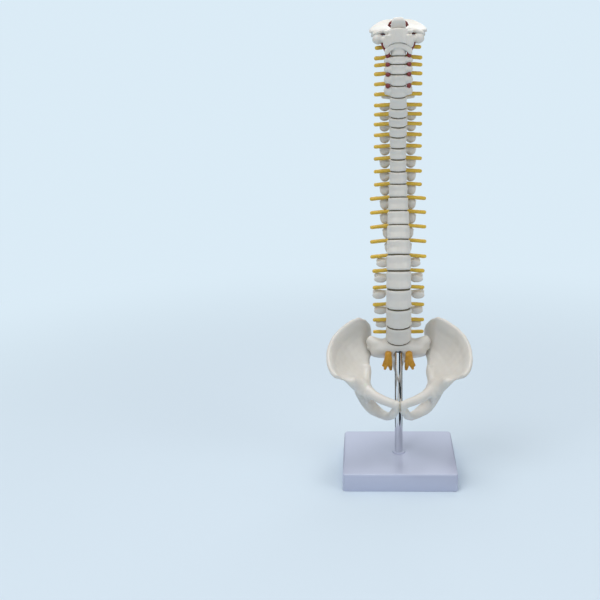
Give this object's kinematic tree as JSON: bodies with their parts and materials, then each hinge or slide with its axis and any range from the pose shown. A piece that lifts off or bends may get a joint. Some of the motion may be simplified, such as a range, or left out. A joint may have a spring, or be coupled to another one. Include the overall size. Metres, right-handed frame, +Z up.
{
  "type": "spine anatomy model",
  "caption": "Reduced model of a human spine with skull base fragment, nerve roots and pelvis, on a chrome rod and square base.",
  "frame": {"origin": "centre of the base plate's underside", "axes": "+Z up along the support rod, -Y towards the front of the body, +X towards the left hip bone"},
  "size_m": [0.1422, 0.112, 0.446],
  "materials": {
    "bone": "smooth semi-gloss off-white",
    "disc": "olive tan, soft",
    "cartilage": "pale tan, soft",
    "nerve": "soft yellow plastic",
    "artery": "soft deep red plastic",
    "steel": "polished",
    "fixing": "zinc plated",
    "base": "smooth pale lavender grey"
  },
  "bodies": {
    "root": {"base_plate": "base", "support_rod": "steel", "rod_washer": "fixing", "rod_nut": "fixing", "sacrum": "bone", "hip_bone_left": "bone", "hip_bone_right": "bone", "pubic_disc": "cartilage", "spine_wire": "fixing", "spinal_cord": "nerve", "sacral_nerves": "nerve", "vertebral_arteries": "artery", "vertebra_l5": "bone", "vertebra_l4": "bone", "vertebra_l3": "bone", "vertebra_l2": "bone", "vertebra_l1": "bone", "vertebra_t12": "bone", "vertebra_t11": "bone", "vertebra_t10": "bone", "vertebra_t9": "bone", "vertebra_t8": "bone", "vertebra_t7": "bone", "vertebra_t6": "bone", "vertebra_t5": "bone", "vertebra_t4": "bone", "vertebra_t3": "bone", "vertebra_t2": "bone", "vertebra_t1": "bone", "vertebra_c7": "bone", "vertebra_c6": "bone", "vertebra_c5": "bone", "vertebra_c4": "bone", "vertebra_c3": "bone", "axis_c2": "bone", "atlas_c1": "bone", "occipital_bone": "bone", "disc_l5_s1": "disc", "disc_l4_l5": "disc", "disc_l3_l4": "disc", "disc_l2_l3": "disc", "disc_l1_l2": "disc", "disc_t12_l1": "disc", "disc_t11_t12": "disc", "disc_t10_t11": "disc", "disc_t9_t10": "disc", "disc_t8_t9": "disc", "disc_t7_t8": "disc", "disc_t6_t7": "disc", "disc_t5_t6": "disc", "disc_t4_t5": "disc", "disc_t3_t4": "disc", "disc_t2_t3": "disc", "disc_t1_t2": "disc", "disc_c7_t1": "disc", "disc_c6_c7": "disc", "disc_c5_c6": "disc", "disc_c4_c5": "disc", "disc_c3_c4": "disc", "disc_c2_c3": "disc"}
  },
  "joints": []
}
